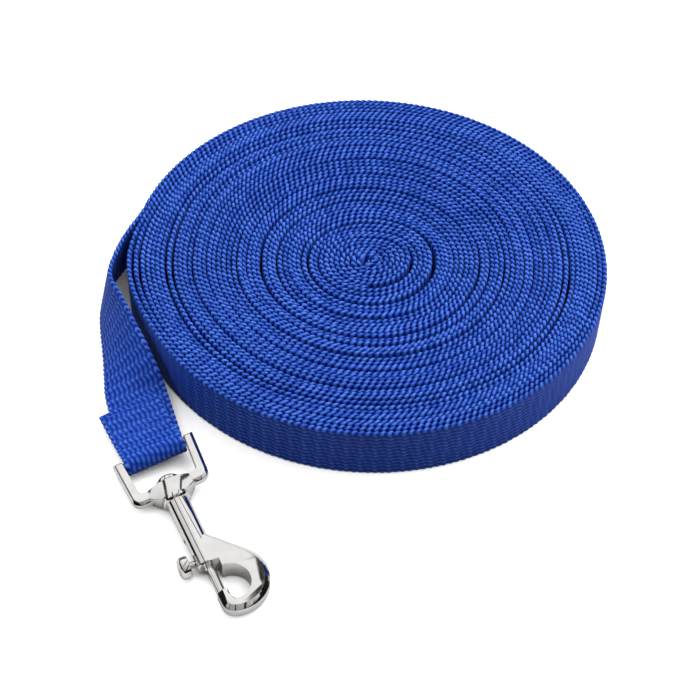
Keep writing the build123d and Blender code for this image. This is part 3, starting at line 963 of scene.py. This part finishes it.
@dataclass
class HookEnd:
    """The free tail, which twists from standing to lying flat, and its fold round the eye's crossbar.

    The tail's marks are (distance along the wall, standoff, tilt in degrees), in millimetres.
    """

    weave: Weave
    roll: Roll
    marks: tuple[tuple[float, float, float], ...] = (
        (20.0, 4.9, 81.5),
        (33.6, 9.1, 78.0),
        (44.3, 10.9, 76.0),
        (53.0, 9.9, 67.1),
        (65.6, 9.5, 55.4),
        (77.9, 10.6, 39.8),
        (86.6, 12.4, 22.7),
    )
    distance: float = 116.2 * MM
    standoff: float = 26.9 * MM
    heading: float = math.radians(66.6)
    tilt: float = math.radians(8.0)
    pitch: float = math.radians(2.0)
    bar_height: float = 6.58 * MM
    fold_radius: float = 3.0 * MM
    fold_back: float = 28.5 * MM
    fold_closes: float = 8.5 * MM
    layer_gap: float = 0.1 * MM
    under_skew: float = 3.4 * MM
    flap_skew: float = 1.2 * MM
    seams: tuple[float, ...] = (13.4 * MM, 15.8 * MM, 25.8 * MM)
    stitch_pitch: float = 2.8 * MM
    stitches: int = 8
    settle_slope: float = -0.8
    step: float = 0.6 * MM
    bend_stations: int = 22
    slope_stations: int = 15
    flap_stations: int = 28
    rng: np.random.Generator = field(default_factory=lambda: np.random.default_rng(SEED + 2))

    def __post_init__(self) -> None:
        """Work out the frame of the snap and of the strap's end."""
        last = self.roll.arcs[-1]
        self.centre = Vector((*last.centre, 0.0))
        self.wall = last.radius + self.weave.thickness / 2
        self.exit = self.roll.winding.exit_angle
        angle = self.exit + self.distance / self.wall + self.heading
        forward = Vector((math.cos(angle), math.sin(angle), 0.0)) * math.cos(self.pitch)
        forward.z = -math.sin(self.pitch)
        across = Vector((-math.sin(angle), math.cos(angle), 0.0))
        up = forward.cross(across)
        place = self.beside_wall(self.distance, self.standoff) + Vector((0, 0, self.bar_height))
        self.snap = Matrix.Translation(place) @ Matrix((forward, across, up)).transposed().to_4x4()
        self.end = self.snap @ Matrix.Rotation(self.tilt, 4, "X")

    def beside_wall(self, distance: float, standoff: float) -> Vector:
        """Point on the floor beside the roll's wall."""
        angle = self.exit + distance / self.wall
        return self.centre + Vector((math.cos(angle), math.sin(angle), 0.0)) * (self.wall + standoff)

    def tail(self) -> tuple[np.ndarray, np.ndarray]:
        """Lead the free tail from the roll's wall to the snap.

        Returns:
            Middle points, and directions across the strap.
        """
        half, thick = self.weave.width / 2, self.weave.thickness / 2
        radius = self.roll.arcs[-1].radius
        leave = self.centre + Vector((math.cos(self.exit), math.sin(self.exit), 0.0)) * radius
        reach = self.fold_back + self.layer_gap
        seat = self.end @ Vector((-reach, self.under_skew, -self.fold_radius))
        level = [leave] + [self.beside_wall(s * MM, d * MM) for s, d, _ in self.marks] + [seat]
        tilts = [90.0] + [tilt for _, _, tilt in self.marks] + [math.degrees(self.tilt)]
        knots = np.array([(p.x, p.y, math.radians(t)) for p, t in zip(level, tilts)])
        run = (self.end.to_3x3() @ Vector((reach, -self.under_skew, 0.0))).to_2d().normalized()
        first = np.array([-math.sin(self.exit), math.cos(self.exit), 0.0])
        curve = ClampedSpline(knots, first, np.array([run.x, run.y, self.settle_slope]))
        share = np.linspace(0.0, 1.0, int(curve.length / self.step))
        read = curve.read(share * curve.length)
        tilt = np.clip(read[:, 2], self.tilt, math.pi / 2)
        lift = seat.z - half * math.sin(self.tilt) - thick
        height = half * np.sin(tilt) + thick * np.cos(tilt) + lift * share ** 3
        run_plan = unit(np.gradient(read[:, :2], axis=0))
        beside = np.column_stack([-run_plan[:, 1], run_plan[:, 0]])
        edge = np.column_stack([beside * np.cos(tilt)[:, None], np.sin(tilt)])
        return np.column_stack([read[:, :2], height]), edge

    def fold(self) -> tuple[np.ndarray, np.ndarray]:
        """Fold the end under the crossbar, round it and back on top.

        Returns:
            Middle points, and directions across the strap.
        """
        low = -self.fold_radius
        seat = low + self.weave.thickness + self.layer_gap
        lean = math.atan2(self.fold_radius - seat, self.fold_closes)
        turn = np.linspace(-math.pi / 2, math.pi / 2 + lean, self.bend_stations)
        under = np.linspace(-self.fold_back - self.layer_gap, 0.0, int(self.fold_back / self.step))
        bend = np.column_stack([np.cos(turn), np.sin(turn)]) * self.fold_radius
        slope_end = np.array([-self.fold_closes - self.fold_radius * math.sin(lean), seat])
        slope = bend[-1] + (slope_end - bend[-1]) * np.linspace(0, 1, self.slope_stations)[:, None]
        back = np.linspace(slope_end[0], -self.fold_back, self.flap_stations)
        line = np.concatenate([
            np.column_stack([under[1:], np.full(len(under) - 1, low)]),
            bend[1:],
            slope[1:],
            np.column_stack([back[1:], np.full(len(back) - 1, seat)]),
        ])
        share = np.clip(-line[:, 0] / self.fold_back, 0.0, None)
        upper = line[:, 1] > 0.5 * (low + seat)
        aside = np.where(upper, -self.flap_skew, self.under_skew) * share
        local = np.column_stack([line[:, 0], aside, line[:, 1], np.ones(len(line))])
        world = local @ np.array(self.end).T
        across = np.array(self.end.col[1].to_3d())
        return world[:, :3], np.tile(across, (len(line), 1))

    def build(self) -> tuple[bpy.types.Object, float]:
        """Mesh the tail and the fold as one strip.

        Returns:
            The strip and its flat length.
        """
        tail, tail_edge = self.tail()
        fold, fold_edge = self.fold()
        middle = np.concatenate([tail, fold])
        edge = np.concatenate([tail_edge, fold_edge])
        route = Route.along(middle, edge, self.roll.length)
        strip = Strip("strap_tail_and_fold", self.weave, Cover.BOTH, self.rng)
        return strip.build(route), route.at[-1] - route.at[0]

    def seam(self) -> list[Matrix]:
        """Lay out the hook end's seam on both faces of the strap.

        Returns:
            Frame of each stitch.
        """
        top = -self.fold_radius + 1.5 * self.weave.thickness + self.layer_gap
        bottom = -self.fold_radius - self.weave.thickness / 2
        first = -self.stitch_pitch * (self.stitches - 1) / 2
        places = []
        for distance in self.seams:
            for k in range(self.stitches):
                for height, flip in ((top, 0.0), (bottom, math.pi)):
                    place = Matrix.Translation((-distance, first + self.stitch_pitch * k, height))
                    places.append(self.end @ place @ Matrix.Rotation(flip, 4, "Y"))
        return places


@dataclass(frozen=True)
class Stitch:
    """One stitch: a short length of thread whose ends dive into the webbing."""

    length: float = 2.5 * MM
    thread: float = 0.62 * MM
    dive: float = 0.35 * MM
    taper: float = 0.25
    sides: int = 8
    cuts: int = 3

    def build(self, name: str, places: Sequence[Matrix]) -> bpy.types.Object:
        """Model one stitch by hand and copy it to each place.

        Args:
            name: Name of the piece.
            places: Frames of the stitches: Y along the thread, Z out of the webbing.

        Returns:
            All stitches as one object.
        """
        bpy.ops.object.select_all(action="DESELECT")
        bpy.ops.mesh.primitive_cylinder_add(
            vertices=self.sides,
            radius=self.thread / 2,
            depth=self.length,
            rotation=(math.pi / 2, 0, 0),
        )
        one = bpy.context.object
        bpy.ops.object.transform_apply(location=True, rotation=True, scale=True)
        bpy.ops.object.mode_set(mode="EDIT")
        bpy.ops.mesh.select_all(action="DESELECT")
        shape = bmesh.from_edit_mesh(one.data)
        for edge in shape.edges:
            edge.select = abs(edge.verts[0].co.y - edge.verts[1].co.y) > self.length / 2
        shape.select_flush(True)
        bpy.ops.mesh.subdivide(number_cuts=self.cuts)
        bpy.ops.mesh.select_all(action="DESELECT")
        shape = bmesh.from_edit_mesh(one.data)
        for vert in shape.verts:
            share = abs(vert.co.y) / (self.length / 2)
            vert.co.z -= self.dive * share ** 4
            vert.co.x *= 1 - self.taper * share ** 6
        bmesh.update_edit_mesh(one.data)
        bpy.ops.object.mode_set(mode="OBJECT")
        joined = bmesh.new()
        for place in places:
            copy = one.data.copy()
            copy.transform(place)
            joined.from_mesh(copy)
            bpy.data.meshes.remove(copy)
        mesh = bpy.data.meshes.new(name)
        joined.to_mesh(mesh)
        joined.free()
        bpy.data.objects.remove(one)
        mesh.shade_smooth()
        return place_mesh(name, mesh)


# ------------------------------------------------------------------------------------------ metal


@dataclass(frozen=True)
class Casting:
    """A metal part taken from its CAD solid, with its hard edges softened."""

    node: str
    name: str
    soften: float
    segments: int = 3
    flat_angle: float = math.radians(1.2)
    bevel_angle: float = math.radians(28)
    smooth_angle: float = math.radians(32)

    def build(self) -> bpy.types.Object:
        """Copy the CAD node, merge its triangles and bevel its edges.

        Returns:
            The softened part.
        """
        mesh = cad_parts[self.node].data.copy()
        mesh.name = self.name
        shape = merged_node(self.node)
        bmesh.ops.dissolve_limit(
            shape, angle_limit=self.flat_angle, verts=shape.verts, edges=shape.edges, delimit={"NORMAL"}
        )
        shape.to_mesh(mesh)
        shape.free()
        piece = place_mesh(self.name, mesh)
        bpy.ops.object.select_all(action="DESELECT")
        piece.select_set(True)
        bpy.context.view_layer.objects.active = piece
        bevel = piece.modifiers.new("soft_edges", "BEVEL")
        bevel.width = self.soften
        bevel.segments = self.segments
        bevel.limit_method = "ANGLE"
        bevel.angle_limit = self.bevel_angle
        bevel.harden_normals = False
        bpy.ops.object.modifier_apply(modifier=bevel.name)
        bpy.ops.object.shade_smooth_by_angle(angle=self.smooth_angle)
        return piece


@dataclass(frozen=True)
class CoilSpring:
    """The bolt's spring, left in its CAD shape, though on the real snap it closes up towards its seat
    as the bolt slides back.
    """

    node: str = "bolt_spring"
    name: str = "bolt_spring_coil"
    seat: float = 29.6 * MM
    closed_share: float = 0.33

    def build(self) -> bpy.types.Object:
        """Copy the CAD node and merge its triangles.

        Returns:
            The spring.
        """
        shape = merged_node(self.node)
        mesh = bpy.data.meshes.new(self.name)
        shape.to_mesh(mesh)
        shape.free()
        mesh.shade_smooth()
        return place_mesh(self.name, mesh)

    def follow(self, piece: bpy.types.Object) -> None:
        """Give the finished spring a mesh of its own.

        Args:
            piece: The spring.
        """
        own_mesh(piece)


# ----------------------------------------------------------------------------------------- studio


@dataclass(frozen=True)
class SoftBox:
    """Rectangular lamp: where it hangs, its two sides and its power in watts."""

    name: str
    place: tuple[float, float, float]
    size: tuple[float, float]
    power: float

    def build(self, aim: Vector) -> None:
        """Hang the lamp, out of the metal's mirrored view.

        Args:
            aim: Point that the lamp faces.
        """
        lamp = bpy.data.lights.new(self.name, "AREA")
        lamp.shape = "RECTANGLE"
        lamp.size, lamp.size_y = self.size
        lamp.energy = self.power
        holder = bpy.data.objects.new(self.name, lamp)
        holder.location = self.place
        holder.visible_glossy = False
        holder.rotation_euler = (aim - Vector(self.place)).to_track_quat("-Z", "Y").to_euler()
        bpy.context.collection.objects.link(holder)


@dataclass
class Studio:
    """Pale floor, soft lights, striped surroundings for the metal, and the camera."""

    aim: Vector
    lamps: tuple[SoftBox, ...] = (
        SoftBox("overhead_box", (0.10, 0.25, 0.95), (1.1, 0.9), 15.0),
        SoftBox("right_box", (0.95, 0.05, 0.40), (0.7, 0.7), 6.0),
        SoftBox("left_box", (-0.90, -0.25, 0.50), (0.5, 0.6), 3.0),
    )
    elevation: float = math.radians(45.963)
    distance: float = 0.700
    sensor_mm: float = 36.0
    focal_length_mm: float = 81.827
    roll: float = math.radians(2.558)
    pan: float = math.radians(0.66869)
    nod: float = math.radians(-2.09201)
    floor_size: float = 6.0
    floor_drop: float = 0.2 * MM
    floor_bounce: float = 0.45
    floor_glow: float = 0.68
    shelter_reach: float = 50 * MM
    sheltered: float = 0.18
    unsheltered: float = 0.34
    shelter_samples: int = 8
    heights: tuple[tuple[float, float], ...] = (
        (0.0, 0.5), (0.03, 0.5), (0.05, 0.01), (0.38, 0.01), (0.42, 0.95), (1.0, 1.0),
    )
    dark_strips: tuple[tuple[float, float], ...] = ((0.225, 0.265), (0.54, 0.57), (0.74, 0.775))
    strip_edge: float = 0.01
    strip_level: float = 0.03
    back_begins: float = 0.4
    front_air: float = 0.3
    back_air: float = 1.0

    def floor(self) -> None:
        """Large floor that glows pale for the camera in the open, with painted shade where the leash
        shelters it.
        """
        bpy.ops.object.select_all(action="DESELECT")
        bpy.ops.mesh.primitive_plane_add(size=self.floor_size, location=(0, 0, -self.floor_drop))
        plane = bpy.context.object
        plane.name = "studio_floor"
        finish = Finish(
            "studio_floor",
            Base_Color=(*[self.floor_bounce] * 3, 1.0),
            Roughness=0.9,
            Specular_IOR_Level=0.0,
            Emission_Color=(*WHITE, 1.0),
        )
        path = finish.add("ShaderNodeLightPath")
        # Painted shade: an occlusion mask turns the camera's glow down where the leash shelters the
        # floor.
        shelter = finish.add(
            "ShaderNodeAmbientOcclusion", samples=self.shelter_samples, Distance=self.shelter_reach
        )
        open_floor = finish.add(
            "ShaderNodeMapRange",
            interpolation_type="SMOOTHSTEP",
            From_Min=self.sheltered,
            From_Max=self.unsheltered,
            To_Max=self.floor_glow,
        )
        finish.link(shelter.outputs["AO"], open_floor.inputs["Value"])
        glow = finish.add("ShaderNodeMath", operation="MULTIPLY")
        finish.link(path.outputs["Is Camera Ray"], glow.inputs[0])
        finish.link(open_floor.outputs["Result"], glow.inputs[1])
        finish.link(glow.outputs[0], finish.shader.inputs["Emission Strength"])
        plane.data.materials.append(finish.material)

    def strips(self) -> list[tuple[float, float]]:
        """Levels from left to right: pale, but for a few narrow dark strips.

        Returns:
            Stops as (position, level).
        """
        stops = [(0.0, 1.0)]
        for first, last in self.dark_strips:
            stops += [(first - self.strip_edge, 1.0), (first, self.strip_level)]
            stops += [(last, self.strip_level), (last + self.strip_edge, 1.0)]
        return stops + [(1.0, 1.0)]

    def world(self) -> None:
        """Pale surroundings with the dark bands that the metal mirrors."""
        world = bpy.data.worlds.new("studio_air")
        world.use_nodes = True
        bpy.context.scene.world = world
        sheet = NodeSheet(world.node_tree)
        way = sheet.add("ShaderNodeTexCoord")
        split = sheet.add("ShaderNodeSeparateXYZ")
        sheet.link(way.outputs["Generated"], split.inputs[0])
        across = sheet.add("ShaderNodeMapRange", From_Min=-1.0)
        sheet.link(split.outputs["X"], across.inputs["Value"])
        bands = sheet.greys(split.outputs["Z"], self.heights)
        gaps = sheet.greys(across.outputs["Result"], self.strips())
        side = sheet.add(
            "ShaderNodeMapRange",
            From_Min=-1.0,
            From_Max=self.back_begins,
            To_Min=self.front_air,
            To_Max=self.back_air,
        )
        sheet.link(split.outputs["Y"], side.inputs["Value"])
        air = sheet.tree.nodes["Background"]
        sheet.link(side.outputs["Result"], air.inputs["Strength"])
        sheet.link(sheet.multiply(bands, gaps), air.inputs["Color"])

    def camera(self) -> None:
        """Camera that looks down on the roll, turned a little off its aim."""
        lens = bpy.data.cameras.new("camera")
        lens.sensor_width = self.sensor_mm
        lens.lens = self.focal_length_mm
        lens.clip_end = 20.0
        holder = bpy.data.objects.new("camera", lens)
        bpy.context.collection.objects.link(holder)
        back = Vector((0.0, -math.cos(self.elevation), math.sin(self.elevation)))
        holder.location = self.aim + back * self.distance
        sight = back.to_track_quat("Z", "Y").to_matrix()
        spin = Matrix.Rotation(self.roll, 3, "Z")
        turn = Matrix.Rotation(self.pan, 3, "Y") @ Matrix.Rotation(self.nod, 3, "X")
        holder.rotation_euler = (sight @ spin @ turn).to_euler()
        bpy.context.scene.camera = holder

    def build(self) -> None:
        """Set up the whole studio."""
        bpy.context.scene.view_settings.view_transform = "Standard"
        self.floor()
        self.world()
        for lamp in self.lamps:
            lamp.build(self.aim)
        self.camera()


# ------------------------------------------------------------------------------------------- main


def dress(
    piece: bpy.types.Object, finish: bpy.types.Material, stock: Stock, body: Body, *nodes: str
) -> None:
    """Give a piece its finish and say what it belongs to.

    Args:
        piece: The piece.
        finish: Its material.
        stock: Not used.
        body: Body that it rides on.
        nodes: CAD nodes that it stands for.
    """
    piece.data.materials.clear()
    piece.data.materials.append(finish)
    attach(piece, body.value)
    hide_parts(*nodes)
    LOG.info("%s: %d faces on %s", piece.name, len(piece.data.polygons), body.value)


def main() -> None:
    """Build the leash in order, from the heart of the roll to the snap."""
    logging.basicConfig(level=logging.INFO, format="%(name)s %(message)s")
    weave = Weave()
    yarn = WovenYarn().build()
    thread = SewingThread().build()
    nickel = BrightMetal("bright_nickel", (0.86, 0.845, 0.825), (0.05, 0.12)).build()
    steel = BrightMetal("drawn_wire", (0.55, 0.55, 0.56), (0.2, 0.32)).build()

    roll = Roll(weave, Winding())
    for piece, length in roll.build():
        dress(piece, yarn, Stock.WEBBING, Body.STRAP, "strap_coil")
    piece, length = roll.hand_loop()
    dress(piece, yarn, Stock.WEBBING, Body.STRAP, "handle_loop")

    end = HookEnd(weave, roll)
    piece, length = end.build()
    dress(piece, yarn, Stock.WEBBING, Body.STRAP, "strap_tail", "hook_end_loop")
    piece = Stitch().build("hook_end_seam", end.seam())
    dress(piece, thread, Stock.THREAD, Body.STRAP, "hook_end_stitching")

    castings = [
        (Casting("swivel_eye", "swivel_eye_casting", 0.45 * MM), Body.EYE),
        (Casting("swivel_rivet", "swivel_rivet_turning", 0.25 * MM), Body.HOOK),
        (Casting("hook_body", "hook_body_casting", 0.4 * MM), Body.HOOK),
        (Casting("bolt_pin", "bolt_pin_turning", 0.15 * MM), Body.BOLT),
        (Casting("thumb_button", "thumb_button_turning", 0.35 * MM), Body.BOLT),
    ]
    for casting, body in castings:
        dress(casting.build(), nickel, Stock.NICKEL, body, casting.node)
    spring = CoilSpring()
    piece = spring.build()
    dress(piece, steel, Stock.SPRING, Body.HOOK, spring.node)
    spring.follow(piece)
    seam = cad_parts["handle_stitching"]
    seam.data.materials.clear()
    seam.data.materials.append(thread)

    x, y = roll.arcs[-1].centre
    Studio(aim=Vector((x, y, 0.0)) + AIM_SHIFT).build()


if __name__ == "__main__":
    main()
